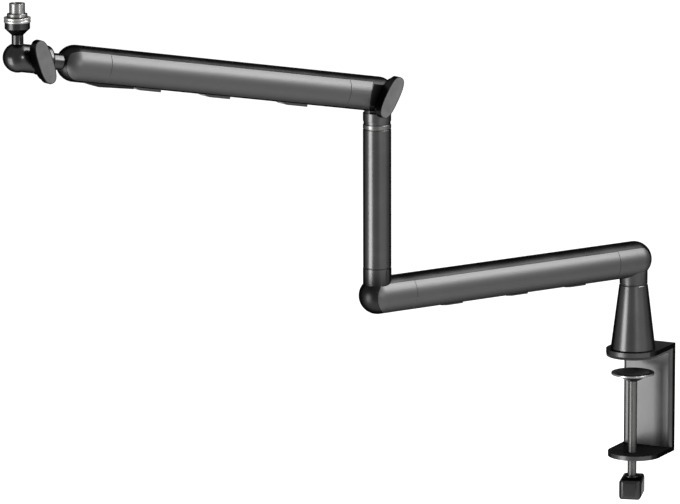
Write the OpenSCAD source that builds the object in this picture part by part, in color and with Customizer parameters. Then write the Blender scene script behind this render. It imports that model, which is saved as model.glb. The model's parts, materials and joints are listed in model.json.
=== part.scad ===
// Microphone boom arm: a desk clamp, a swivelling lower arm, a riser, a tilting upper arm and a
// threaded microphone head. Millimetres. The origin is on the base swivel's axis, at the underside
// of the clamp's top pad, where it sits on the desk. +Z is up and both arms reach towards -X.

/* [Clamp] */
// Width of the clamp bracket
clamp_w = 59.5; // [50:0.5:70]
// From the swivel axis to the outer face of the back wall
clamp_back = 52; // [46:0.5:60]
// Thickness of the two plates
plate_t = 5; // [4:0.5:8]
// Thickness of the back wall
wall_t = 13; // [8:0.5:16]
// Height of the open mouth
mouth_h = 109.5; // [80:0.5:130]
// Thickness of the rubber desk pad
desk_pad_t = 3; // [1.5:0.5:5]
// How far the foot plate reaches in front of the screw
foot_reach = 23; // [12:1:29]
// Radius of the back wall's upright edges
bracket_corner_r = 4.8; // [2:0.2:6]
// Radius of the bracket's outer bends
bend_r = 4.5; // [2:0.5:8]
// Turn of the clamp below the arms, in degrees
clamp_yaw = 27.5; // [-90:0.5:90]

/* [Clamp screw] */
// Diameter of the clamp screw
screw_d = 10; // [8:0.5:12]
// Gap between the desk pad and the pressure disc, as set
jaw_gap = 19; // [10:1:60]
// Diameter of the pressure disc
disc_d = 47.5; // [40:0.5:52]
// Height of the pressure disc's rim
disc_rim_h = 2.2; // [1.8:0.2:6]
// Height of the cone under the disc
disc_cone_h = 7; // [4:0.5:10]
// Diameter of the disc's rubber insert
disc_rubber_d = 36.4; // [28:0.2:40]
// Height from the disc's top to the key's top
screw_drop = 118; // [100:1:140]
// Length of the thumb key
key_len = 40; // [32:1:46]
// Height of the thumb key
key_h = 23; // [18:1:32]
// Thickness of the thumb key
key_t = 25; // [20:1:28]
// Turn of the thumb key, in degrees
key_turn = 44.5; // [-90:0.5:90]

/* [Base] */
// Diameter at the foot of the base cone
cone_foot_d = 49.5; // [40:0.5:56]
// Diameter at the top of the base cone
cone_top_d = 31.5; // [28:0.5:38]
// Height of the base cone
cone_h = 72; // [50:0.5:90]
// Diameter of the swivel spindles
spindle_d = 16; // [12:0.5:18]
// Height of the lower arm's centreline above the desk seat
lower_z = 108; // [100:0.5:130]

/* [Arms] */
// Outer diameter of the lower arm
lower_arm_d = 39.6; // [36:0.2:44]
// Outer diameter of the upper arm
upper_arm_d = 37.8; // [36:0.2:44]
// Thickness of the side panels
panel_t = 1.6; // [1:0.1:2.5]
// Angle from the top of an arm to a panel's upper edge, in degrees
strip_angle = 44; // [30:1:60]
// Angle from the bottom of an arm to a panel's lower edge, in degrees
lip_angle = 30; // [26:1:45]
// Length of a lower panel past the arm's end pivots
lower_panel_reach = 10.5; // [6:0.5:16]
// Length of an upper panel past the arm's end pivots
upper_panel_reach = 15.5; // [6:0.5:16]
// Width of the cable channel
channel_w = 13; // [8:0.5:15]
// Thickness of the web above the cable channel
web_t = 4; // [3:0.5:6]
// Distance between the lower arm's two swivel axes
lower_len = 345; // [250:1:400]
// Distance from the elbow axis to the centre of the upper arm's round end
upper_len = 380; // [280:1:450]
// Distance from the centre of the upper arm's round end to the head's tilt axis
head_reach = 67.5; // [60:0.5:90]
// Rest tilt of the upper arm above level, in degrees
upper_tilt = 10.2; // [0:0.2:60]
// Seam of the lower arm, from the base axis
lower_root_seam = 33; // [24:0.5:60]
// Seam of the lower arm, from the riser's axis
lower_end_seam = 38.5; // [30:0.5:80]
// Seam of the upper arm, from the elbow axis
upper_root_seam = 47; // [30:0.5:60]
// Seam of the upper arm, from the centre of its round end
upper_end_seam = 33.5; // [30:0.5:80]
// Centres of the lower arm's cable clips, back from the riser's axis
lower_clips = [92.5, 179.5, 258.5];
// Centres of the upper arm's cable clips, back from the centre of its round end
upper_clips = [87, 173, 271];
// Length of a lower cable clip
lower_clip_len = 28.5; // [16:0.5:40]
// Length of an upper cable clip
upper_clip_len = 33; // [16:1:40]
// How far a lower clip stands below the arm
lower_clip_drop = -0.2; // [-0.5:0.1:3]
// How far an upper clip stands below the arm
upper_clip_drop = 1.1; // [0.2:0.1:3]

/* [Riser] */
// Outer diameter of the riser tube
riser_d = 30; // [24:0.5:34]
// Wall of the riser tube
riser_wall = 2.5; // [1.5:0.5:4]
// Height of the elbow axis above the lower arm's centreline
riser_h = 216; // [150:1:280]
// Height of the riser's foot joint above the lower arm's centreline
foot_joint_h = 30; // [28:0.5:45]
// Width of the dark groove below the knuckle
groove_h = 3.7; // [2:0.1:8]
// Height of the bright ring at the riser's top
top_ring_h = 4.2; // [2:0.1:8]
// From the elbow axis down to the knuckle's lower face
knuckle_drop = 28; // [27:0.5:40]

/* [Elbow] */
// Thickness of the knuckle's tongue
tongue_t = 10; // [8:0.5:14]
// Diameter of the elbow bolt
elbow_bolt_d = 8; // [6:0.5:10]
// Lowest tilt of the upper arm, in degrees from level
tilt_low = 0; // [-25:1:10]
// Thickness of a friction washer
friction_t = 1; // [0.5:0.1:2]
// Radius of the round pocket that the elbow knob turns in
pocket_r = 20.7; // [19.5:0.1:22]
// From the arm's middle to the pocket's floor
pocket_y = 15; // [13:0.5:16.5]

/* [Knobs] */
// Length of a knob's paddle
paddle_len = 46.8; // [36:0.2:60]
// Width of a knob's paddle
paddle_w = 17; // [12:0.5:24]
// Thickness of a knob's paddle
paddle_t = 8.7; // [5:0.1:12]
// Thickness of a knob's foot, which turns in the elbow's pocket
knob_foot_t = 3.9; // [2:0.1:8]
// Thickness of a paddle's face plate
face_t = 1; // [0.5:0.1:1.5]
// Border left round a face plate
face_border = 0.6; // [0.4:0.1:3]
// Lean of the elbow knob's paddle, in degrees towards +X
elbow_knob_lean = 30.5; // [-90:0.5:90]
// Lean of the head knob's paddle, in degrees towards +X
head_knob_lean = -19; // [-90:0.5:90]

/* [Head] */
// Diameter of the head's body and of its ball end
ball_d = 30.6; // [26:0.2:36]
// Length of the head's body, from the tilt axis to the neck
body_len = 36.4; // [32:0.2:42]
// From the tilt axis to the head knob's axis
knob_back = 16; // [15:0.5:18]
// Diameter of the neck
neck_d = 17; // [14:0.5:20]
// Thickness of the turning disc that carries the post
disc_slice_t = 12.2; // [10:0.2:16]
// How far the post tilts away from the arm, in degrees
post_back = -60; // [-80:1:0]
// How far the post tilts towards the arm, in degrees
post_forward = 25; // [0:1:30]
// Diameter of the microphone post
post_d = 12; // [9:0.5:14]
// Diameter of the cup on the post
cup_d = 25.6; // [20:0.2:32]
// Height of the cup's foot above the tilt axis
cup_foot_h = 23; // [20:0.5:30]
// Height of the cup's upright wall above the tilt axis
cup_wall_h = 29.5; // [27:0.5:36]
// Height of the cup's top above the tilt axis
cup_top_h = 35.6; // [33:0.2:44]
// Diameter of the knurled lock ring
lock_ring_d = 27; // [22:0.5:34]
// Height of the lock ring
lock_ring_h = 5.4; // [4:0.2:9]
// Diameter of the shoulder under the thread
shoulder_d = 20.6; // [18:0.2:24]
// Height of the shoulder above the lock ring
shoulder_h = 3.6; // [2:0.2:6]
// Major diameter of the outer microphone thread, five eighths of an inch
thread_d = 15.875; // [12:0.125:20]
// Length of the outer microphone thread
thread_len = 10.5; // [7:0.5:18]
// Diameter of the inner threaded bore, three eighths of an inch
inner_thread_d = 9.525; // [6:0.125:12]
// Depth of the inner threaded bore
inner_thread_depth = 9; // [5:0.5:16]

/* [Fits] */
// Radial clearance of a shaft that turns in its bore
run_fit = 0.06; // [0.02:0.01:0.1]
// Radial clearance of a piece pressed or screwed into its own body
seat_fit = 0.05; // [0.02:0.01:0.1]
// Gap between faces of bodies that move past each other
face_gap = 0.3; // [0.2:0.05:0.5]

/* [Hidden] */
$fn = 96;

black = "#1c1c1e";
gunmetal = "#4a4c50";
silver = "#c8c8ca";
rubber = "#141414";
brass = "#b08d4a";
grey = "#727376";

lower_r = lower_arm_d / 2;
upper_r = upper_arm_d / 2;
head_len = upper_len + head_reach;
// How far a cutting shape runs past the face it cuts
over = 1;
panel_end_step = 2;
panel_seat_grow = 0.15;
seam_half = 0.1;
bracket_front_r = clamp_w / 2;
bracket_top = desk_pad_t + plate_t;
foot_top = -mouth_h;
cone_top = bracket_top + cone_h;
base_washer_t = 1;
base_collar_in = 0.3;
base_collar_d = cone_top_d - 2 * base_collar_in;
base_collar_z = cone_top + base_washer_t + face_gap;
bush_wall = 2.5;
bush_d = spindle_d + 2 * bush_wall;
elbow_z = lower_z + riser_h;
casting_len = 34;
spigot_len = 16;
spigot_w = 14;
cavity_w = 20;
cavity_h = 9;
spigot_fit = 0.2;
web_z = -3;
clip_overhang = 1.5;
clip_ramp_len = 7;
clip_ramp_tip = 0.6;
clip_leg_t = 1.2;
clip_leg_h = 8;
clip_leg_gap = 0.15;
arm_screw_d = 4;
arm_screw_head_d = 7;
arm_screw_head_h = 2;
base_bolt_d = 10;
base_bolt_head_d = 15;
base_bolt_head_h = 2.6;
base_bolt_len = 26;
foot_joint_z = lower_z + foot_joint_h;
riser_washer_t = 0.8;
riser_collar_more = 0.4;
pad_inset = 0.4;
bolt_room = 4;
bolt_thread_less = 0.3;
bush_in = 0.2;
washer_in = 0.75;
washer_bore_more = 1;
spindle_up = 4;
riser_bush_drop = 8;
spindle_short = 0.5;
top_line_h = 1;
bush_floor = 3;
groove_in = 0.6;
tube_foot_z = foot_joint_z + riser_washer_t + face_gap;
tube_top_z = elbow_z - knuckle_drop - groove_h - top_ring_h - top_line_h;
ring_top_z = tube_top_z + top_line_h + top_ring_h;
knuckle_spindle_d = 12;
knuckle_spindle_len = 22;
plug_len = 30;
knuckle_bush_d = knuckle_spindle_d + 2 * bush_wall;
knuckle_bush_z = tube_top_z - plug_len + bush_floor;
base_thread_d = base_bolt_d - bolt_thread_less;
cone_bush_z = desk_pad_t + base_bolt_len + bolt_room;
tongue_r = riser_d / 2 - 0.9;
washer_d = 24;
slot_w = tongue_t + 2 * friction_t + 2 * face_gap;
slot_r = tongue_r + 0.8;
slot_back = 22.5;
boss_d = 24;
boss_out = 1;
boss_root = 6;
slot_roof = 4;
pocket_rim = 0.6;
elbow_knob_y = pocket_y + face_gap;
knob_foot_gap = 0.4;
knob_foot_len = 2 * (pocket_r - knob_foot_gap);
knob_grip = 7;
oval_power = 2.7;
oval_points = 64;
face_plate_gap = 0.05;
elbow_bolt_head_d = 14;
elbow_bolt_head_h = 2.5;
head_fit = 0.2;
ball_r = ball_d / 2;
body_edge_r = 3.5;
head_knob_y = ball_r + face_gap;
stud_far = 4.2;
pin_d = 5;
pin_in = 1;
pin_depth = 12;
disc_in = 0.1;
neck_cap_cut = 2.2;
hood_tip = 4;
hood_tip_in = 2.2;
hood_peak = 28;
hood_drop = 2.1;
hood_end_drop = 0.6;
hood_end_in = 1.9;
neck_spot_x = upper_len + upper_r - neck_cap_cut;
neck_shaft_d = 12;
neck_shaft_len = 38;
neck_bore_more = 4;
neck_nut_t = 5;
neck_nut_back = 2;
neck_bush_back = 8;
neck_bush_bore = neck_shaft_d + 2 * bush_wall;
stud_d = 6;
fork_slot_end = knob_back + stud_d / 2 + 5;
disc_core_r = knob_back - stud_d / 2 - face_gap;
stud_angle = asin((stud_d / 2 + face_gap) / knob_back) + 3;
adapter_root_d = thread_d - 4.2;
adapter_root_len = 6.5;
adapter_root_gap = 0.5;
ring_gap = 0.2;
ring_groove_h = 0.8;
ring_groove_in = 0.6;
disc_seat = 1.2;
disc_hub_more = 4;
disc_rim_in = 4;
rubber_up = 0.5;
screw_nose = 2.8;
screw_nose_less = 2;
key_corner_r = 7;
key_edge_r = 5;
key_boss_up = 1.5;
key_boss_more = 6;
key_hole_depth = 12;
adapter_z = cup_top_h;
thread_z = adapter_z + lock_ring_h + shoulder_h;

// Frames

module clamp_frame() rotate([0, 0, clamp_yaw]) children();
module lower_frame() translate([0, 0, lower_z]) children();
module riser_frame() translate([-lower_len, 0, 0]) children();
module elbow_frame() translate([-lower_len, 0, elbow_z]) children();
module upper_frame() elbow_frame() rotate([0, upper_tilt, 0]) children();
module head_frame() upper_frame() translate([-head_len, 0, 0]) children();
// The post stands upright although the upper arm is tilted
module post_frame() head_frame() rotate([0, -upper_tilt, 0]) children();

// Shared shapes

module rounded_plate(x0, x1, y0, y1, r) {
    translate([x0 + r, y0]) square([x1 - x0 - 2 * r, y1 - y0]);
    translate([x0, y0 + r]) square([x1 - x0, y1 - y0 - 2 * r]);
    for (x = [x0 + r, x1 - r], y = [y0 + r, y1 - r]) translate([x, y]) circle(r);
}

// A length along an axis: children are drawn in XY and run along +X from x0 to x1, with
// the drawing's X on Y and its Y on Z
module along_x(x0, x1) translate([x0, 0, 0]) rotate([90, 0, 90]) linear_extrude(x1 - x0) children();
// A drawing in XZ that runs from y0 to y1
module along_y(y0, y1) translate([0, y1, 0]) rotate([90, 0, 0]) linear_extrude(y1 - y0) children();

module rod_x(x0, x1, d) translate([x0, 0, 0]) rotate([0, 90, 0]) cylinder(h = x1 - x0, d = d);
module rod_y(y0, y1, d) translate([0, y0, 0]) rotate([-90, 0, 0]) cylinder(h = y1 - y0, d = d);
module rod_z(z0, z1, d) translate([0, 0, z0]) cylinder(h = z1 - z0, d = d);

// A round bar along X between two ball ends whose centres are at x0 and x1
module capsule(x0, x1, r)
    translate([x0, 0, 0]) rotate([0, 90, 0]) rotate_extrude() intersection() {
        union() {
            circle(r);
            translate([-r, 0]) square([2 * r, x1 - x0]);
            translate([0, x1 - x0]) circle(r);
        }
        translate([0, -r]) square([r, x1 - x0 + 2 * r]);
    }

// The side of an arm that a panel covers, as a wedge across the arm
module panel_wedge(r, side, widen) {
    reach = 3 * r;
    upper = strip_angle - widen;
    lower = 180 - lip_angle + widen;
    polygon([[0, 0], side * reach * [sin(upper), 0] + [0, reach * cos(upper)],
        [side * reach, 0], side * reach * [sin(lower), 0] + [0, reach * cos(lower)]]);
}

// A panel seen from its side: straight edges and D-shaped ends past the arm's two pivots
module panel_side(r, len, reach, grow) {
    half = r - panel_end_step;
    centre = reach - half;
    translate([-len - centre, 0]) circle(half + grow);
    translate([centre, 0]) circle(half + grow);
    translate([-len - centre, -half - grow]) square([len + 2 * centre, 2 * (half + grow)]);
}

// The space of a panel: a skin of the round arm of radius r, cut to one side and length
module panel_space(r, side, len, reach, cut_from, cut_to, outer, inner, grow) intersection() {
    difference() {
        capsule(-len, 0, outer);
        capsule(-len, 0, inner);
    }
    along_x(-len - r, r) panel_wedge(r, side, atan(grow / r));
    along_y(side < 0 ? -2 * r : 0, side < 0 ? 0 : 2 * r) panel_side(r, len, reach, grow);
    translate([-cut_to, -2 * r, -2 * r]) cube([cut_to - cut_from, 4 * r, 4 * r]);
}

module panel_piece(r, side, len, reach, cut_from, cut_to)
    panel_space(r, side, len, reach, cut_from, cut_to, r, r - panel_t, 0);

module panel_seats(r, len, reach) for (side = [-1, 1])
    panel_space(r, side, len, reach, -2 * r, len + 2 * r, r + over, r - panel_t - seat_fit, panel_seat_grow);

module channel_cut(r, x_from, x_to)
    translate([-x_to, -channel_w / 2, -r - over]) cube([x_to - x_from, channel_w, r + over + web_z]);

function spigot_screws(len) = [-casting_len - spigot_len / 2, -len + casting_len + spigot_len / 2];

module screw_holes(r, places, d) for (x = places) translate([x, 0, 0]) rod_z(-r, r / 2, d);

// The black extrusion between the end castings
module arm_core(r, len, reach) difference() {
    rod_x(-len + casting_len, -casting_len, 2 * r);
    panel_seats(r, len, reach);
    channel_cut(r, 0, len);
    translate([-len, -cavity_w / 2, web_z + web_t]) cube([len, cavity_w, cavity_h]);
    screw_holes(r, spigot_screws(len), arm_screw_d + 2 * seat_fit);
}

// One end casting as a blank: the arm's round end, whose panel seats leave out the space of the
// children, and a spigot into the core
module casting_blank(r, len, reach, at_root) {
    x0 = at_root ? -casting_len : -len - r;
    x1 = at_root ? r : -len + casting_len;
    spigot_x = at_root ? -casting_len - spigot_len : -len + casting_len;
    difference() {
        union() {
            intersection() {
                capsule(-len, 0, r);
                translate([x0, -r, -r]) cube([x1 - x0, 2 * r, 2 * r]);
            }
            translate([spigot_x, -spigot_w / 2, web_z + web_t + spigot_fit])
                cube([spigot_len, spigot_w, cavity_h - 2 * spigot_fit]);
        }
        difference() {
            panel_seats(r, len, reach);
            children();
        }
        screw_holes(r, [spigot_screws(len)[at_root ? 0 : 1]], arm_screw_d);
    }
}

module arm_screws(len) for (x = spigot_screws(len)) translate([x, 0, 0]) {
    rod_z(web_z - arm_screw_head_h, web_z, arm_screw_head_d);
    rod_z(web_z - seat_fit, web_z + web_t + cavity_h - over, arm_screw_d - 2 * seat_fit);
}

// Cable clips: a cover plate below the channel, ramped at its outer end, on two snap legs
module arm_clips(r, arm_len, centres, len, drop) for (c = centres)
    translate([c - arm_len - len / 2, 0, 0]) {
    half_w = channel_w / 2 + clip_overhang;
    plate_top = -sqrt(r * r - half_w * half_w) - 2 * seat_fit;
    bottom = -r - drop;
    leg_y = channel_w / 2 - clip_leg_gap - clip_leg_t / 2;
    difference() {
        along_y(-half_w, half_w) polygon([[0, plate_top], [len, plate_top], [len, bottom],
            [clip_ramp_len, bottom], [0, plate_top - clip_ramp_tip]]);
        difference() {
            rod_x(-over, len + over, 2 * (r + seat_fit));
            translate([-over, 2 * seat_fit - channel_w / 2, -r])
                cube([len + 2 * over, channel_w - 4 * seat_fit, r]);
        }
    }
    for (side = [-1, 1]) translate([clip_ramp_len / 2, side * leg_y - clip_leg_t / 2, plate_top - 2 * seat_fit])
        cube([len - clip_ramp_len, clip_leg_t, clip_leg_h]);
}

// A knob's long oval, from the formula of a full ellipse
function oval_side(v) = sign(v) * pow(abs(v), 2 / oval_power);
module paddle_outline(length, width) polygon([for (i = [0 : oval_points - 1])
    let(a = 360 * i / oval_points) [oval_side(cos(a)) * width / 2, oval_side(sin(a)) * length / 2]]);

// A knob: a shorter oval foot towards the arm, and the paddle with a seat for its face plate
module knob_body(y_start, lean, bore) difference() {
    foot_y = -y_start - knob_foot_t;
    union() {
        rotate([0, lean, 0]) along_y(foot_y, -y_start) paddle_outline(knob_foot_len, paddle_w);
        rotate([0, lean, 0]) difference() {
            along_y(foot_y - paddle_t, foot_y) paddle_outline(paddle_len, paddle_w);
            along_y(foot_y - paddle_t - over, foot_y - paddle_t + face_t)
                paddle_outline(paddle_len - 2 * face_border, paddle_w - 2 * face_border);
        }
    }
    rod_y(-y_start - knob_grip - over, -y_start + over, bore);
}

module knob_face(y_start, lean) rotate([0, lean, 0]) {
    face_y = -y_start - knob_foot_t - paddle_t;
    border = 2 * (face_border + face_plate_gap);
    along_y(face_y, face_y + face_t) paddle_outline(paddle_len - border, paddle_w - border);
}

// Clamp

// A plate of the bracket: a round front about front_x, and a straight run to the wall's middle
module bracket_plate(front_x) {
    translate([front_x, 0]) circle(bracket_front_r);
    translate([front_x, -bracket_front_r]) square([clamp_back - wall_t / 2 - front_x, clamp_w]);
}

module bracket_wall() rounded_plate(clamp_back - wall_t, clamp_back, -bracket_front_r, bracket_front_r,
    bracket_corner_r);

module clamp_bracket() color(black) clamp_frame() difference() {
    intersection() {
        union() {
            translate([0, 0, desk_pad_t]) linear_extrude(plate_t) bracket_plate(0);
            translate([0, 0, foot_top - plate_t]) linear_extrude(plate_t)
                bracket_plate(bracket_front_r - foot_reach);
            translate([0, 0, foot_top - plate_t]) linear_extrude(bracket_top - foot_top + plate_t)
                bracket_wall();
        }
        along_y(-clamp_w, clamp_w)
            rounded_plate(-clamp_w, clamp_back, foot_top - plate_t, bracket_top, bend_r);
    }
    rod_z(0, bracket_top + over, base_bolt_d + 2 * seat_fit);
    rod_z(desk_pad_t - over, desk_pad_t + base_bolt_head_h + 2 * seat_fit, base_bolt_head_d + 2 * face_gap);
    rod_z(foot_top - plate_t - over, foot_top + over, screw_d + 2 * run_fit);
}

module desk_pad() color(rubber) clamp_frame() linear_extrude(desk_pad_t) difference() {
    union() {
        circle(bracket_front_r - pad_inset);
        translate([0, pad_inset - bracket_front_r]) square([clamp_back - wall_t - face_gap, clamp_w - 2 * pad_inset]);
    }
}

module base_cone() color(gunmetal) difference() {
    translate([0, 0, bracket_top]) cylinder(h = cone_h, d1 = cone_foot_d, d2 = cone_top_d);
    rod_z(cone_bush_z, cone_top + over, bush_d + 2 * seat_fit);
    rod_z(bracket_top - over, cone_top, base_thread_d + 2 * seat_fit);
}

module base_bolt() color(silver) {
    rod_z(desk_pad_t, desk_pad_t + base_bolt_head_h, base_bolt_head_d);
    rod_z(desk_pad_t + base_bolt_head_h, desk_pad_t + base_bolt_len, base_thread_d);
}

module cone_bush() color(brass) difference() {
    rod_z(cone_bush_z, cone_top - bush_in, bush_d);
    rod_z(0, cone_top + over, spindle_d + 2 * run_fit);
}

module base_washer() color(silver) difference() {
    rod_z(cone_top, cone_top + base_washer_t, cone_top_d - 2 * washer_in);
    rod_z(0, base_collar_z, spindle_d + washer_bore_more);
}

// Lower arm

module base_spindle() color(silver) rod_z(bracket_top + base_bolt_len, lower_z + spindle_up,
    spindle_d);

module base_end() color(black) difference() {
    union() {
        lower_frame() casting_blank(lower_r, lower_len, lower_panel_reach, true);
        rod_z(base_collar_z, lower_z, base_collar_d);
    }
    rod_z(0, lower_z + spindle_up, spindle_d + 2 * seat_fit);
    lower_frame() channel_cut(lower_r, spindle_d, lower_len);
}

module lower_core() color(black) lower_frame() arm_core(lower_r, lower_len, lower_panel_reach);

module riser_end() color(black) difference() {
    union() {
        lower_frame() casting_blank(lower_r, lower_len, lower_panel_reach, false);
        riser_frame() rod_z(lower_z, foot_joint_z, riser_d + riser_collar_more);
    }
    riser_frame() rod_z(lower_z - riser_bush_drop, foot_joint_z + over, bush_d + 2 * seat_fit);
    lower_frame() channel_cut(lower_r, 0, lower_len - riser_d / 2);
}

module lower_panels(side) lower_frame() {
    panel_piece(lower_r, side, lower_len, lower_panel_reach, -lower_r, lower_root_seam - seam_half);
    panel_piece(lower_r, side, lower_len, lower_panel_reach, lower_len - lower_end_seam + seam_half,
        lower_len + lower_r);
}
module lower_mid_panel(side) lower_frame() panel_piece(lower_r, side, lower_len, lower_panel_reach,
    lower_root_seam + seam_half, lower_len - lower_end_seam - seam_half);

// Where the collars rise through the panels, the panels are cut back
module lower_panels_near() color(gunmetal) difference() {
    lower_panels(-1);
    collar_cuts();
}
module lower_panels_far() color(gunmetal) difference() {
    lower_panels(1);
    collar_cuts();
}
module collar_cuts() {
    rod_z(0, lower_z, base_collar_d + 2 * seam_half);
    riser_frame() rod_z(lower_z, foot_joint_z, riser_d + riser_collar_more + 2 * seam_half);
}
module lower_mid_panel_near() color(gunmetal) lower_mid_panel(-1);
module lower_mid_panel_far() color(gunmetal) lower_mid_panel(1);
module lower_clips_set() color(grey) lower_frame()
    arm_clips(lower_r, lower_len, lower_clips, lower_clip_len, lower_clip_drop);
module lower_screws() color(silver) lower_frame() arm_screws(lower_len);

module riser_bush() color(brass) riser_frame() difference() {
    rod_z(lower_z - riser_bush_drop, foot_joint_z - bush_in, bush_d);
    rod_z(0, foot_joint_z + over, spindle_d + 2 * run_fit);
}

module riser_washer() color(silver) riser_frame() difference() {
    rod_z(foot_joint_z, foot_joint_z + riser_washer_t, riser_d - 2 * washer_in);
    rod_z(0, tube_foot_z, spindle_d + washer_bore_more);
}

// Riser

module riser_tube() color(gunmetal) riser_frame() difference() {
    rod_z(tube_foot_z, tube_top_z, riser_d);
    rod_z(0, elbow_z, riser_d - 2 * riser_wall);
}

module riser_foot_plug() color(silver) riser_frame() {
    rod_z(tube_foot_z, tube_foot_z + plug_len, riser_d - 2 * riser_wall - 2 * seat_fit);
    rod_z(lower_z - riser_bush_drop + spindle_short, tube_foot_z + over, spindle_d);
}

module riser_top_plug() color(silver) riser_frame() difference() {
    union() {
        rod_z(tube_top_z - plug_len, tube_top_z + top_line_h, riser_d - 2 * riser_wall - 2 * seat_fit);
        rod_z(tube_top_z, tube_top_z + top_line_h, riser_d - 2 * washer_in);
        rod_z(tube_top_z + top_line_h, ring_top_z, riser_d);
    }
    rod_z(knuckle_bush_z, elbow_z, knuckle_bush_d + 2 * seat_fit);
}

module knuckle_bush() color(brass) riser_frame() difference() {
    rod_z(knuckle_bush_z, ring_top_z - bush_in, knuckle_bush_d);
    rod_z(0, elbow_z, knuckle_spindle_d + 2 * run_fit);
}

// Elbow

module knuckle() color(gunmetal) elbow_frame() difference() {
    union() {
        // Shoulders, cut to the slope that the arm needs at its lowest tilt
        difference() {
            rod_z(-knuckle_drop, -upper_r, riser_d);
            rotate([0, tilt_low, 0]) translate([-2 * upper_r, -upper_r, -upper_r - face_gap])
                cube([4 * upper_r, 2 * upper_r, 2 * upper_r]);
            translate([0, -upper_r, -upper_r - face_gap]) cube([upper_r, 2 * upper_r, 2 * upper_r]);
        }
        intersection() {
            union() {
                rod_z(-knuckle_drop, -tongue_r / 2, 2 * tongue_r);
                rod_y(-tongue_t, tongue_t, 2 * tongue_r);
            }
            translate([-upper_r, -tongue_t / 2, -knuckle_drop]) cube([2 * upper_r, tongue_t, 2 * knuckle_drop]);
        }
        rod_z(-knuckle_drop - groove_h + face_gap, -knuckle_drop, riser_d - 2 * groove_in);
        rod_z(-knuckle_drop - groove_h - knuckle_spindle_len, -knuckle_drop, knuckle_spindle_d);
    }
    rod_y(-tongue_t, tongue_t, elbow_bolt_d + 2 * run_fit);
}

module friction_washers() color(rubber) elbow_frame() for (side = [-1, 1])
    translate([0, side * (tongue_t + friction_t) / 2, 0]) difference() {
        rod_y(-friction_t / 2, friction_t / 2, washer_d);
        rod_y(-friction_t, friction_t, elbow_bolt_d + 2 * face_gap);
    }

// Upper arm

// The round pocket on the near side, as far as y_to, and with a rim round it where nothing is cut
module knob_pocket(y_to, rim) rod_y(-2 * upper_r, y_to, 2 * (pocket_r + rim));

module elbow_end() color(black) upper_frame() difference() {
    union() {
        casting_blank(upper_r, upper_len, upper_panel_reach, true) knob_pocket(0, pocket_rim);
        rod_y(upper_r - boss_root, upper_r + boss_out, boss_d);
    }
    knob_pocket(-pocket_y, 0);
    // The slot for the tongue, open below and at the round end
    along_y(-slot_w / 2, slot_w / 2) {
        circle(slot_r);
        translate([0, -slot_r]) square([2 * upper_r, 2 * slot_r]);
        translate([-slot_back, -2 * upper_r]) square([2 * upper_r + slot_back, 2 * upper_r - slot_roof]);
        translate([-slot_back, -2 * upper_r]) square([slot_back, 2 * upper_r]);
    }
    rod_y(-2 * upper_r, 2 * upper_r, elbow_bolt_d + 2 * seat_fit);
    rod_y(upper_r + boss_out - elbow_bolt_head_h, 2 * upper_r, elbow_bolt_head_d + 2 * head_fit);
    channel_cut(upper_r, slot_back, upper_len);
}

module upper_core() color(black) upper_frame() arm_core(upper_r, upper_len, upper_panel_reach);

module head_end() color(black) upper_frame() difference() {
    casting_blank(upper_r, upper_len, upper_panel_reach, false);
    rod_x(-upper_len - 2 * upper_r, -neck_spot_x, 2 * upper_r);
    rod_x(-neck_spot_x - over, -neck_spot_x + neck_shaft_len + neck_bore_more,
        neck_bush_bore + 2 * seat_fit);
    channel_cut(upper_r, 0, upper_len - neck_d);
}

module upper_panels(side) difference() {
    upper_frame() {
        panel_piece(upper_r, side, upper_len, upper_panel_reach, -upper_r, upper_root_seam - seam_half);
        panel_piece(upper_r, side, upper_len, upper_panel_reach, upper_len - upper_end_seam + seam_half,
            upper_len + upper_r);
    }
    upper_frame() knob_pocket(0, pocket_rim + seam_half);
    upper_frame() rod_y(0, 2 * upper_r, boss_d + 2 * seam_half);
}
module upper_mid_panel(side) upper_frame() panel_piece(upper_r, side, upper_len, upper_panel_reach,
    upper_root_seam + seam_half, upper_len - upper_end_seam - seam_half);

module upper_panels_near() color(gunmetal) upper_panels(-1);
module upper_panels_far() color(gunmetal) upper_panels(1);
module upper_mid_panel_near() color(gunmetal) upper_mid_panel(-1);
module upper_mid_panel_far() color(gunmetal) upper_mid_panel(1);
module upper_clips_set() color(grey) upper_frame()
    arm_clips(upper_r, upper_len, upper_clips, upper_clip_len, upper_clip_drop);
module upper_screws() color(silver) upper_frame() arm_screws(upper_len);

// A shallow hood under the channel's outer end, where the cable comes out, up to the last clip
module cable_hood() color(black) upper_frame() difference() {
    hood_end = upper_clips[0] - upper_clip_len / 2 - face_gap - upper_len;
    half_w = channel_w / 2 + clip_overhang;
    along_y(-half_w, half_w)
        polygon([[hood_tip - upper_len, hood_tip_in - upper_r], [hood_peak - upper_len, -upper_r - hood_drop],
            [hood_end, -upper_r - hood_end_drop], [hood_end, hood_end_in - upper_r]]);
    rod_x(-upper_len - over, 0, 2 * (upper_r + 2 * seat_fit));
}

module elbow_bolt() color(silver) upper_frame() {
    rod_y(upper_r + boss_out - elbow_bolt_head_h + 2 * seat_fit, upper_r + boss_out, elbow_bolt_head_d);
    rod_y(-elbow_knob_y - knob_grip, upper_r + boss_out - elbow_bolt_head_h / 2, elbow_bolt_d);
}

module elbow_knob() color(black) upper_frame()
    knob_body(elbow_knob_y, elbow_knob_lean - upper_tilt, elbow_bolt_d + 2 * run_fit);
module elbow_knob_face() color(grey) upper_frame() knob_face(elbow_knob_y, elbow_knob_lean - upper_tilt);

module neck_bush() color(brass) upper_frame() difference() {
    rod_x(-neck_spot_x + head_fit, -neck_spot_x + neck_shaft_len - neck_bush_back, neck_bush_bore);
    rod_x(-neck_spot_x - over, 0, neck_shaft_d + 2 * run_fit);
}

// Head

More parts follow.
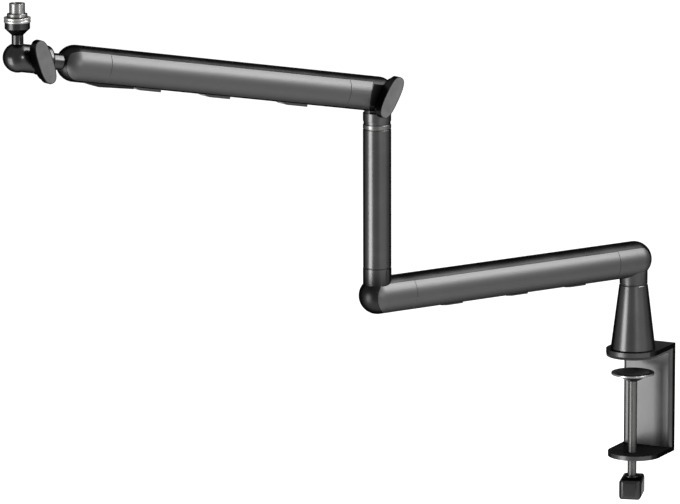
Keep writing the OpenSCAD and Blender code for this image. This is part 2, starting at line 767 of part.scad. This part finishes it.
module head_neck() color(black) upper_frame() {
    rod_x(-head_len + body_len, -neck_spot_x - face_gap, neck_d);
    rod_x(-neck_spot_x - over, -neck_spot_x + neck_shaft_len, neck_shaft_d);
}

module neck_nut() color(silver) upper_frame() difference() {
    nut_x = -neck_spot_x + neck_shaft_len - neck_nut_back;
    rod_x(nut_x - neck_nut_t, nut_x, neck_shaft_d + bush_wall);
    rod_x(-upper_len, 0, neck_shaft_d + 2 * seat_fit);
}

// A round bar along the arm with a ball at its outer end, split for the post's turning disc
module head_fork() color(black) head_frame() difference() {
    rotate([0, 90, 0]) rotate_extrude() intersection() {
        union() {
            circle(ball_r);
            square([ball_r, body_len - body_edge_r]);
            square([ball_r - body_edge_r, body_len]);
            translate([ball_r - body_edge_r, body_len - body_edge_r]) circle(body_edge_r);
        }
        translate([0, -ball_r]) square([ball_r, body_len + ball_r]);
    }
    along_y(-disc_slice_t / 2 - face_gap, disc_slice_t / 2 + face_gap)
        translate([-ball_r - over, -ball_r - over]) square([ball_r + over + fork_slot_end, 2 * (ball_r + over)]);
    rod_y(-pin_depth, ball_r + over, pin_d + 2 * seat_fit);
    translate([knob_back, 0, 0]) rod_y(-ball_r - over, ball_r - stud_far + head_fit, stud_d + 2 * seat_fit);
}

module head_pin() color(silver) head_frame() rod_y(head_fit - pin_depth, ball_r - pin_in, pin_d);

module head_stud() color(silver) head_frame() translate([knob_back, 0, 0])
    rod_y(-head_knob_y - knob_grip, ball_r - stud_far, stud_d);

module head_knob() color(black) head_frame() translate([knob_back, 0, 0])
    knob_body(head_knob_y, head_knob_lean - upper_tilt, stud_d + 2 * run_fit);
module head_knob_face() color(grey) head_frame() translate([knob_back, 0, 0])
    knob_face(head_knob_y, head_knob_lean - upper_tilt);

// Points on a fan round the origin between two angles from +X
function fan(from, to, r) = [[0, 0], for (i = [0:4]) let(a = from + (to - from) * i / 4) r * [cos(a), sin(a)]];

// The turning disc is a slice of the ball, cut away where the clamping stud passes as it tilts
module mic_post() color(black) post_frame() difference() {
    union() {
        intersection() {
            sphere(ball_r - disc_in);
            along_y(-disc_slice_t / 2, disc_slice_t / 2) difference() {
                circle(ball_r);
                polygon(fan(post_back - upper_tilt - stud_angle, post_forward - upper_tilt + stud_angle, ball_d));
            }
        }
        rod_y(-disc_slice_t / 2, disc_slice_t / 2, 2 * disc_core_r);
        rod_z(0, cup_foot_h + over, post_d);
        translate([0, 0, cup_foot_h]) cylinder(h = cup_wall_h - cup_foot_h, d1 = post_d, d2 = cup_d);
        rod_z(cup_wall_h, cup_top_h, cup_d);
    }
    rod_y(-ball_r, ball_r, pin_d + 2 * run_fit);
    rod_z(cup_top_h - adapter_root_len - adapter_root_gap, cup_top_h + over, adapter_root_d + 2 * seat_fit);
}

module thread_adapter() color(silver) post_frame() difference() {
    union() {
        rod_z(cup_top_h - adapter_root_len, thread_z + thread_len, adapter_root_d);
        rod_z(adapter_z, thread_z + thread_len, thread_d);
        rod_z(thread_z - shoulder_h + face_gap, thread_z, shoulder_d);
    }
    rod_z(thread_z + thread_len - inner_thread_depth, thread_z + thread_len + over, inner_thread_d);
}

module lock_ring() color(silver) post_frame() difference() {
    ring_foot = adapter_z + ring_gap;
    groove_z = ring_foot + (lock_ring_h - ring_groove_h) / 2;
    rod_z(ring_foot, adapter_z + lock_ring_h, lock_ring_d);
    rod_z(0, thread_z, thread_d + 2 * run_fit);
    // The groove round the middle of the ring
    difference() {
        rod_z(groove_z, groove_z + ring_groove_h, lock_ring_d + over);
        rod_z(groove_z, groove_z + ring_groove_h, lock_ring_d - 2 * ring_groove_in);
    }
}

// Clamp screw

module pressure_disc() color(silver) clamp_frame() translate([0, 0, -jaw_gap]) difference() {
    union() {
        rod_z(-disc_rim_h, 0, disc_d);
        translate([0, 0, -disc_rim_h - disc_cone_h])
            cylinder(h = disc_cone_h, d1 = screw_d + disc_hub_more, d2 = disc_d - 2 * disc_rim_in);
    }
    rod_z(-disc_seat, over, disc_rubber_d + 2 * seat_fit);
    rod_z(-disc_rim_h - disc_cone_h - over, -screw_nose, screw_d - screw_nose_less + 2 * run_fit);
}

module disc_rubber() color(rubber) clamp_frame() translate([0, 0, -jaw_gap])
    rod_z(-disc_seat, rubber_up, disc_rubber_d);

module clamp_screw() color(silver) clamp_frame() translate([0, 0, -jaw_gap]) {
    rod_z(-disc_rim_h - disc_cone_h - over, -screw_nose - face_gap, screw_d - screw_nose_less);
    rod_z(-screw_drop - key_hole_depth, -disc_rim_h - disc_cone_h - face_gap, screw_d);
}

// A stout bar across the screw's foot, rounded seen from its side and from its end
module thumb_key() color(black) translate([0, 0, -jaw_gap - screw_drop]) rotate([0, 0, key_turn]) difference() {
    union() {
        intersection() {
            along_y(-key_t / 2, key_t / 2) rounded_plate(-key_len / 2, key_len / 2, -key_h, 0, key_edge_r);
            along_x(-key_len / 2, key_len / 2) rounded_plate(-key_t / 2, key_t / 2, -key_h, 0, key_edge_r);
            translate([0, 0, -key_h]) linear_extrude(key_h)
                rounded_plate(-key_len / 2, key_len / 2, -key_t / 2, key_t / 2, key_corner_r);
        }
        rod_z(-key_h / 2, key_boss_up, screw_d + key_boss_more);
    }
    rod_z(-key_hole_depth - over, 2 * over + key_boss_up, screw_d + 2 * seat_fit);
}

clamp_bracket();
desk_pad();
base_cone();
base_bolt();
cone_bush();
base_washer();
base_spindle();
base_end();
lower_core();
riser_end();
lower_panels_near();
lower_panels_far();
lower_mid_panel_near();
lower_mid_panel_far();
lower_clips_set();
lower_screws();
riser_bush();
riser_washer();
riser_tube();
riser_foot_plug();
riser_top_plug();
knuckle_bush();
knuckle();
friction_washers();
elbow_end();
upper_core();
head_end();
upper_panels_near();
upper_panels_far();
upper_mid_panel_near();
upper_mid_panel_far();
upper_clips_set();
upper_screws();
cable_hood();
elbow_bolt();
elbow_knob();
elbow_knob_face();
neck_bush();
head_neck();
neck_nut();
head_fork();
head_pin();
head_stud();
head_knob();
head_knob_face();
mic_post();
thread_adapter();
lock_ring();
pressure_disc();
disc_rubber();
clamp_screw();
thumb_key();
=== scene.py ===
"""The visual model of a desk-clamped microphone boom arm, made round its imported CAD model."""
import json
import math

import bmesh
import bpy
from mathutils import Matrix, Vector

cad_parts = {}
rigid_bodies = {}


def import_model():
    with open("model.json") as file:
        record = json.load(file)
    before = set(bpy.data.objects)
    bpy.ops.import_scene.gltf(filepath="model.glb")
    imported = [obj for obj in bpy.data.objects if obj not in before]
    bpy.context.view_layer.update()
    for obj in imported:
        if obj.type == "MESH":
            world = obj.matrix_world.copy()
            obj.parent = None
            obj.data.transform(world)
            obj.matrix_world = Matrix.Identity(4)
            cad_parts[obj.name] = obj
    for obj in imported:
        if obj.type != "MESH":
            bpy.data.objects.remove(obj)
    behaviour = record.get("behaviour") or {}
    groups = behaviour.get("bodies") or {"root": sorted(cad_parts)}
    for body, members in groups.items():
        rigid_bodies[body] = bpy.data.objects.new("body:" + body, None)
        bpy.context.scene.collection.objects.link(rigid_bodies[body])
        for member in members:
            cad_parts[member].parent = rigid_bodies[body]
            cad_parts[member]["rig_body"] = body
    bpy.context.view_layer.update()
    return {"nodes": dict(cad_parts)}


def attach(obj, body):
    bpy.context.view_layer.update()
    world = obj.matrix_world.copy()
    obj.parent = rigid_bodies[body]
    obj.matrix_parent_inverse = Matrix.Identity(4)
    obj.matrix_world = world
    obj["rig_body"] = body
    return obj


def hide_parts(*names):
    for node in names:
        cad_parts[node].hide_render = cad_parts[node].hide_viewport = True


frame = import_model()
NODES = frame["nodes"]
MM = 0.001

# Camera, fitted to the arm's pivots in the photograph
AZIMUTH, ELEVATION, ROLL = -34.877, 11.036, -0.149
LENS, SENSOR = 272.12, 36.0
DISTANCE = 5.411
TARGET = Vector((-0.392984, 0.0, 0.160394))
CLIP_START, CLIP_END = 0.1, 200.0

# Main sizes of the CAD model, in metres
LOWER_LEN, LOWER_Z = 0.345, 0.108
UPPER_TILT = math.radians(10.2)
CLAMP_YAW = math.radians(27.5)

# The collars on the lower arm's ends: a reach just past their radius, and where they meet the arm
COLLAR_REACH = 15.6 * MM
RISER_COLLAR_FOOT = LOWER_Z + 20 * MM
BASE_COLLAR_TOP = LOWER_Z - 10 * MM

# Turns of the threads and grooves of the lock ring
RING_PITCH, MIC_PITCH, CLAMP_PITCH = 1.5 * MM, 0.94 * MM, 1.5 * MM
THREAD_DEPTH = 0.15

# How CAD meshes are merged, rounded and shaded
MERGE_GAP = 0.002 * MM
FLAT_ANGLE = math.radians(0.6)
ROUND_ABOVE = math.radians(32.0)
SHARP_ABOVE = math.radians(30.0)
ROUND_STEPS = 3
# Painted shade: how squarely a clamp face must look to its −Y side to take the darker colour
SHADED_FACING_LIMIT = 0.9

# Surroundings
FLOOR_Z, FLOOR_HALF, FLOOR_GLOW = -0.73, 40.0, 0.8
WORLD_LEVEL = 0.26


def aim_camera():
    az, el, roll = (math.radians(a) for a in (AZIMUTH, ELEVATION, ROLL))
    back = Vector((math.sin(az) * math.cos(el), -math.cos(az) * math.cos(el), math.sin(el)))
    level = Vector((math.cos(az), math.sin(az), 0.0))
    upright = back.cross(level)
    right = level * math.cos(roll) + upright * math.sin(roll)
    up = upright * math.cos(roll) - level * math.sin(roll)
    data = bpy.data.cameras.new("camera")
    data.sensor_fit, data.sensor_width, data.lens = "HORIZONTAL", SENSOR, LENS
    data.clip_start, data.clip_end = CLIP_START, CLIP_END
    camera = bpy.data.objects.new("camera", data)
    bpy.context.scene.collection.objects.link(camera)
    turn = Matrix((right, up, back)).transposed().to_4x4()
    camera.matrix_world = Matrix.Translation(TARGET + back * DISTANCE) @ turn
    bpy.context.scene.camera = camera


class Wire:
    """A value in a tree of nodes that takes plain arithmetic."""

    def __init__(self, nodes, socket):
        self.nodes, self.socket = nodes, socket

    def __add__(self, other):
        return self.nodes.node("ShaderNodeMath", {"operation": "ADD"}, {0: self, 1: other})

    def __mul__(self, other):
        return self.nodes.node("ShaderNodeMath", {"operation": "MULTIPLY"}, {0: self, 1: other})

    __radd__, __rmul__ = __add__, __mul__

    def smoothed(self, low, high):
        """0 below low and 1 above high, with a soft step between."""
        settings = {"interpolation_type": "SMOOTHSTEP"}
        return self.nodes.node("ShaderNodeMapRange", settings, {0: self, 1: low, 2: high})


class Nodes:
    """A tree of shader nodes, of a material or of the world."""

    def __init__(self, tree):
        self.tree = tree

    def node(self, kind, settings, inputs, out=0):
        made = self.tree.nodes.new(kind)
        for key, value in settings.items():
            setattr(made, key, value)
        for key, value in inputs.items():
            self.plug(made.inputs[key], value)
        return Wire(self, made.outputs[out])

    def plug(self, socket, value):
        if isinstance(value, Wire):
            self.tree.links.new(value.socket, socket)
        elif isinstance(value, tuple) and len(value) == 3 and socket.type == "RGBA":
            socket.default_value = (*value, 1.0)
        else:
            socket.default_value = value

    def seen_directly(self):
        """1 for rays from the camera, from gloss and from glass, and 0 for the rest."""
        rays = ("Is Camera Ray", "Is Glossy Ray", "Is Transmission Ray")
        path = self.tree.nodes.new("ShaderNodeLightPath")
        camera, gloss, glass = (Wire(self, path.outputs[name]) for name in rays)
        return camera + gloss + glass


class Finish(Nodes):
    """A material and the nodes that it is made of."""

    def __init__(self, name):
        self.material = bpy.data.materials.new(name)
        self.material.use_nodes = True
        super().__init__(self.material.node_tree)
        self.shader = self.tree.nodes["Principled BSDF"]

    def set(self, **inputs):
        for key, value in inputs.items():
            self.plug(self.shader.inputs[key.replace("_", " ")], value)
        return self

    def place(self, scale=(1.0, 1.0, 1.0), turn=(0.0, 0.0, 0.0)):
        """Object coordinates in metres, turned and stretched for a pattern."""
        where = self.node("ShaderNodeTexCoord", {}, {}, 3)
        return self.node("ShaderNodeMapping", {}, {"Vector": where, "Rotation": turn, "Scale": scale})

    def noise(self, size, detail, where=None):
        """Soft spots about as large as size, in metres."""
        inputs = {"Vector": where or self.place(), "Scale": 1.0 / size, "Detail": detail, "Roughness": 0.55}
        return self.node("ShaderNodeTexNoise", {}, inputs)

    def grooves(self, pitch):
        """Level grooves one pitch apart, as turned rings or thread turns."""
        settings = {"bands_direction": "Z", "wave_profile": "SIN"}
        inputs = {"Vector": self.place(), "Scale": math.pi / 10 / pitch}
        return self.node("ShaderNodeTexWave", settings, inputs, 1)

    def blend(self, factor, first, second):
        """A colour between two colours."""
        return self.node("ShaderNodeMix", {"data_type": "RGBA"}, {0: factor, 6: first, 7: second}, 2)

    def bump(self, height, depth, strength):
        return self.node("ShaderNodeBump", {}, {"Strength": strength, "Distance": depth, "Height": height})


def grey(level):
    return (level, level, level)


def dark_metal(name, shades, rough, grain_size=0.9 * MM, grain_depth=0.03 * MM, edge=0.22):
    """A coated or anodised metal with a fine grain, whose edges stay dark as in the photograph."""
    f = Finish(name)
    grain = f.noise(grain_size, 4.0)
    cloud = f.noise(30 * MM, 2.0)
    return f.set(Base_Color=f.blend(cloud.smoothed(0.3, 0.7), grey(shades[0]), grey(shades[1])), Metallic=1.0,
                 Roughness=rough[0] + (rough[1] - rough[0]) * cloud, Specular_Tint=grey(edge),
                 Normal=f.bump(grain, grain_depth, 0.35))


def anodised_panel(tilt):
    """Dark anodised aluminium, brushed along an arm of the given tilt."""
    f = Finish("anodised_panel")
    turn = (0.0, -tilt, 0.0)
    brush = f.noise(0.4 * MM, 2.0, f.place((0.02, 1.0, 1.0), turn))
    cloud = f.noise(40 * MM, 2.0, f.place((0.3, 1.0, 1.0), turn))
    return f.set(Base_Color=f.blend(cloud, grey(0.041), grey(0.046)), Metallic=1.0,
                 Roughness=0.42 + 0.07 * brush + 0.04 * cloud, Specular_Tint=grey(0.1),
                 Normal=f.bump(brush, 0.008 * MM, 0.3))


def blasted_grey():
    """The pale blasted face plates of the knobs."""
    f = Finish("blasted_grey")
    grain = f.noise(0.5 * MM, 4.0)
    cloud = f.noise(8 * MM, 3.0)
    return f.set(Base_Color=f.blend(cloud.smoothed(0.3, 0.7), grey(0.050), grey(0.061)), Metallic=0.6,
                 Roughness=0.55 + 0.12 * grain, Specular_Tint=grey(0.3),
                 Normal=f.bump(grain, 0.04 * MM, 0.5))


def bright_nickel():
    """The grooved lock ring, its colour darker in the grooves as painted shade."""
    f = Finish("bright_nickel")
    cloud = f.noise(6 * MM, 3.0)
    ridges_and_groove_shade = f.grooves(RING_PITCH)
    # Painted shade: the base colour falls from the ridges to half as bright in the grooves.
    return f.set(Base_Color=f.blend(ridges_and_groove_shade, (0.13, 0.128, 0.125), (0.26, 0.256, 0.25)), Metallic=1.0,
                 Roughness=0.26 + 0.12 * cloud, Specular_Tint=grey(0.3),
                 Normal=f.bump(ridges_and_groove_shade, 0.1 * MM, 0.6))


def soft_black(name, shades, rough, shine, grain_size, grain_depth, strength):
    """Rubber or moulded plastic with a fine grain."""
    f = Finish(name)
    grain = f.noise(grain_size, 3.0)
    return f.set(Base_Color=f.blend(grain, grey(shades[0]), grey(shades[1])),
                 Roughness=rough + 0.12 * grain, Specular_IOR_Level=shine,
                 Normal=f.bump(grain, grain_depth, strength))


def turned_metal(name, colour, rough=0.28, edge=0.5, pitch=0.0):
    """Turned metal with fine rings, and with thread turns if it is given a pitch."""
    f = Finish(name)
    rings = f.noise(1.5 * MM, 2.0, f.place((1.0, 1.0, 6.0)))
    f.set(Base_Color=f.blend(rings, tuple(0.85 * c for c in colour), colour), Metallic=1.0,
          Roughness=rough + 0.12 * rings, Specular_Tint=grey(edge))
    if pitch:
        f.set(Normal=f.bump(f.grooves(pitch), THREAD_DEPTH * pitch, 0.5))
    return f


FINISH = {
    "powder": dark_metal("powder_black", (0.010, 0.014), (0.30, 0.38)),
    "clamp": dark_metal("clamp_black", (0.034, 0.040), (0.30, 0.38)),
    "lower_panel": anodised_panel(0.0),
    "upper_panel": anodised_panel(UPPER_TILT),
    "enamel": dark_metal("satin_enamel", (0.040, 0.045), (0.26, 0.30), 0.7 * MM, 0.006 * MM, 0.08),
    "gloss": dark_metal("gloss_black", (0.022, 0.026), (0.22, 0.28), 0.6 * MM, 0.01 * MM, 0.25),
    "dark_steel": turned_metal("dark_steel", (0.055, 0.055, 0.054), 0.24, 0.2, CLAMP_PITCH),
    "disc_steel": turned_metal("disc_steel", (0.16, 0.16, 0.158), 0.22, 0.2),
    "ring_steel": turned_metal("ring_steel", (0.085, 0.085, 0.084), 0.22, 0.1),
    "blasted": blasted_grey(),
    "nickel": bright_nickel(),
    "chrome": turned_metal("dark_chrome", (0.12, 0.12, 0.118), 0.20, 0.1, MIC_PITCH),
    "rubber": soft_black("black_rubber", (0.006, 0.012), 0.72, 0.15, 0.6 * MM, 0.06 * MM, 0.6),
    "plastic": soft_black("moulded_plastic", (0.010, 0.016), 0.42, 0.2, 0.8 * MM, 0.04 * MM, 0.5),
    "steel": turned_metal("turned_steel", (0.03, 0.03, 0.03)),
    "brass": turned_metal("turned_brass", (0.55, 0.40, 0.18)),
}


def dressed(obj, finish):
    obj.data.materials.clear()
    obj.data.materials.append(FINISH[finish].material)


def smooth(obj):
    mesh = obj.data
    if "sharp_edge" in mesh.attributes:
        mesh.attributes.remove(mesh.attributes["sharp_edge"])
    mesh.shade_smooth()
    mesh.set_sharp_from_angle(angle=SHARP_ABOVE)


def trimmed_copy(node, finish, bevel, slot):
    """A copy of a CAD node with its flat faces merged and its corners rounded over, in mm."""
    source = NODES[node]
    mesh = source.data.copy()
    shape = bmesh.new()
    shape.from_mesh(mesh)
    bmesh.ops.remove_doubles(shape, verts=shape.verts, dist=MERGE_GAP)
    bmesh.ops.dissolve_limit(shape, angle_limit=FLAT_ANGLE, verts=shape.verts, edges=shape.edges)
    shape.to_mesh(mesh)
    shape.free()
    mesh.name = f"{node}_piece"
    piece = bpy.data.objects.new(f"{node}_piece", mesh)
    bpy.context.scene.collection.objects.link(piece)
    rounding = piece.modifiers.new("rounding", "BEVEL")
    rounding.width, rounding.segments = bevel * MM, ROUND_STEPS
    rounding.limit_method, rounding.angle_limit = "ANGLE", ROUND_ABOVE
    rounding.harden_normals = False
    smooth(piece)
    dressed(piece, finish)
    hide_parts(node)
    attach(piece, source["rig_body"])
    return piece


def second_finish_and_painted_shade(piece, finish, takes):
    """The faces that the test picks take a second material: a real second finish on the collars, and painted
    shade on the clamp bracket's near side.
    """
    piece.data.materials.append(FINISH[finish].material)
    for face in piece.data.polygons:
        if takes(face):
            face.material_index = 1


def near_upright(face, axis_x):
    """Whether a face lies on the collar round the upright axis at axis_x."""
    return (face.center - Vector((axis_x, 0.0, 0.0))).to_2d().length < COLLAR_REACH


aim_camera()

KEPT = {
    "powder": ["lower_core", "upper_core", "elbow_end", "head_end", "cable_hood"],
    "steel": ["base_bolt", "base_washer", "base_spindle", "lower_screws", "riser_washer",
              "riser_foot_plug", "upper_screws", "elbow_bolt", "neck_nut", "head_pin", "head_stud"],
    "brass": ["cone_bush", "riser_bush", "knuckle_bush", "neck_bush"],
    "rubber": ["friction_washers", "disc_rubber"],
    "plastic": ["lower_clips_set", "upper_clips_set"],
}
for finish_name, names in KEPT.items():
    for node_name in names:
        dressed(NODES[node_name], finish_name)

# Node, finish, rounding in mm and material slot of each piece that stands for a CAD node
TRIMMED = [
    ("lower_panels_near", "lower_panel", 0.35, "gunmetal"),
    ("lower_panels_far", "lower_panel", 0.35, "gunmetal"),
    ("lower_mid_panel_near", "lower_panel", 0.35, "gunmetal"),
    ("lower_mid_panel_far", "lower_panel", 0.35, "gunmetal"),
    ("upper_panels_near", "upper_panel", 0.35, "gunmetal"),
    ("upper_panels_far", "upper_panel", 0.35, "gunmetal"),
    ("upper_mid_panel_near", "upper_panel", 0.35, "gunmetal"),
    ("upper_mid_panel_far", "upper_panel", 0.35, "gunmetal"),
    ("riser_end", "powder", 0.4, "black_aluminium"),
    ("base_end", "powder", 0.4, "black_aluminium"),
    ("clamp_bracket", "clamp", 0.9, "black_metal"),
    ("desk_pad", "rubber", 0.5, "rubber"),
    ("base_cone", "enamel", 0.8, "satin_tube"),
    ("riser_tube", "enamel", 0.4, "satin_tube"),
    ("riser_top_plug", "ring_steel", 0.3, "satin_tube"),
    ("knuckle", "enamel", 0.5, "satin_tube"),
    ("elbow_knob", "gloss", 0.7, "knob_black"),
    ("elbow_knob_face", "blasted", 0.25, "knob_grey"),
    ("head_neck", "gloss", 0.4, "black_metal"),
    ("head_fork", "gloss", 0.6, "black_aluminium"),
    ("head_knob", "gloss", 0.7, "knob_black"),
    ("head_knob_face", "blasted", 0.25, "knob_grey"),
    ("mic_post", "gloss", 0.4, "black_aluminium"),
    ("thread_adapter", "chrome", 0.3, "nickel"),
    ("lock_ring", "nickel", 0.3, "nickel"),
    ("pressure_disc", "disc_steel", 0.4, "steel"),
    ("clamp_screw", "dark_steel", 0.5, "steel"),
    ("thumb_key", "gloss", 0.8, "knob_black"),
]
PIECES = {row[0]: trimmed_copy(*row) for row in TRIMMED}

second_finish_and_painted_shade(PIECES["riser_end"], "enamel",
              lambda face: face.center.z > RISER_COLLAR_FOOT and near_upright(face, -LOWER_LEN))
second_finish_and_painted_shade(PIECES["base_end"], "clamp",
              lambda face: face.center.z < BASE_COLLAR_TOP and near_upright(face, 0.0))
# Painted shade: the clamp bracket's faces that look out to its −Y side, turned with the clamp, take the
# darker powder black as the shade on that side.
clamp_shaded_side = Matrix.Rotation(CLAMP_YAW, 3, "Z") @ Vector((0.0, -1.0, 0.0))
second_finish_and_painted_shade(PIECES["clamp_bracket"], "powder",
              lambda face: face.normal.dot(clamp_shaded_side) > SHADED_FACING_LIMIT)


def studio_world():
    """A white world to look at, with less light in it than that."""
    world = bpy.data.worlds.new("studio")
    world.use_nodes = True
    nodes = Nodes(world.node_tree)
    background = nodes.tree.nodes["Background"]
    nodes.plug(background.inputs["Color"], (1.0, 1.0, 1.0))
    level = WORLD_LEVEL + (1.0 - WORLD_LEVEL) * nodes.seen_directly()
    nodes.plug(background.inputs["Strength"], level)
    bpy.context.scene.world = world


def pale_floor():
    shape = bmesh.new()
    bmesh.ops.create_grid(shape, x_segments=1, y_segments=1, size=FLOOR_HALF)
    mesh = bpy.data.meshes.new("floor")
    shape.to_mesh(mesh)
    shape.free()
    floor = bpy.data.objects.new("floor", mesh)
    floor.location = (TARGET.x, 0.0, FLOOR_Z)
    bpy.context.scene.collection.objects.link(floor)
    f = Finish("pale_floor")
    f.set(Base_Color=grey(0.88), Roughness=0.85, Specular_IOR_Level=0.2,
          Emission_Color=grey(1.0), Emission_Strength=f.seen_directly() * FLOOR_GLOW)
    floor.data.materials.append(f.material)


def soft_lamp(name, place, at, size, power):
    """A rectangular soft lamp at place, aimed at a point; power in watts."""
    data = bpy.data.lights.new(name, "AREA")
    data.shape, data.size, data.size_y, data.energy = "RECTANGLE", size[0], size[1], power
    lamp = bpy.data.objects.new(name, data)
    bpy.context.scene.collection.objects.link(lamp)
    back = (Vector(place) - Vector(at)).normalized()
    lamp.matrix_world = Matrix.Translation(place) @ back.to_track_quat("Z", "Y").to_matrix().to_4x4()


studio_world()
pale_floor()

# Points that the lamps aim at
UPPER_MIDDLE, LOWER_MIDDLE = (-0.4, 0.0, 0.25), (-0.35, 0.0, 0.1)
soft_lamp("high_right", (0.85, -1.3, 1.45), UPPER_MIDDLE, (1.3, 0.8), 96.0)
soft_lamp("overhead", (0.85, -0.4, 2.0), UPPER_MIDDLE, (1.3, 0.8), 80.0)
soft_lamp("left_strip", (-2.0, 0.05, -0.15), (-0.3, 0.0, 0.1), (0.8, 1.1), 42.0)
soft_lamp("low_front", (0.2, -2.2, -0.1), LOWER_MIDDLE, (2.6, 1.1), 9.0)
soft_lamp("front_spot", (-0.6, -2.0, 0.72), (-0.785, 0.0, 0.4), (0.34, 0.34), 20.0)

bpy.context.scene.view_settings.view_transform = "Standard"
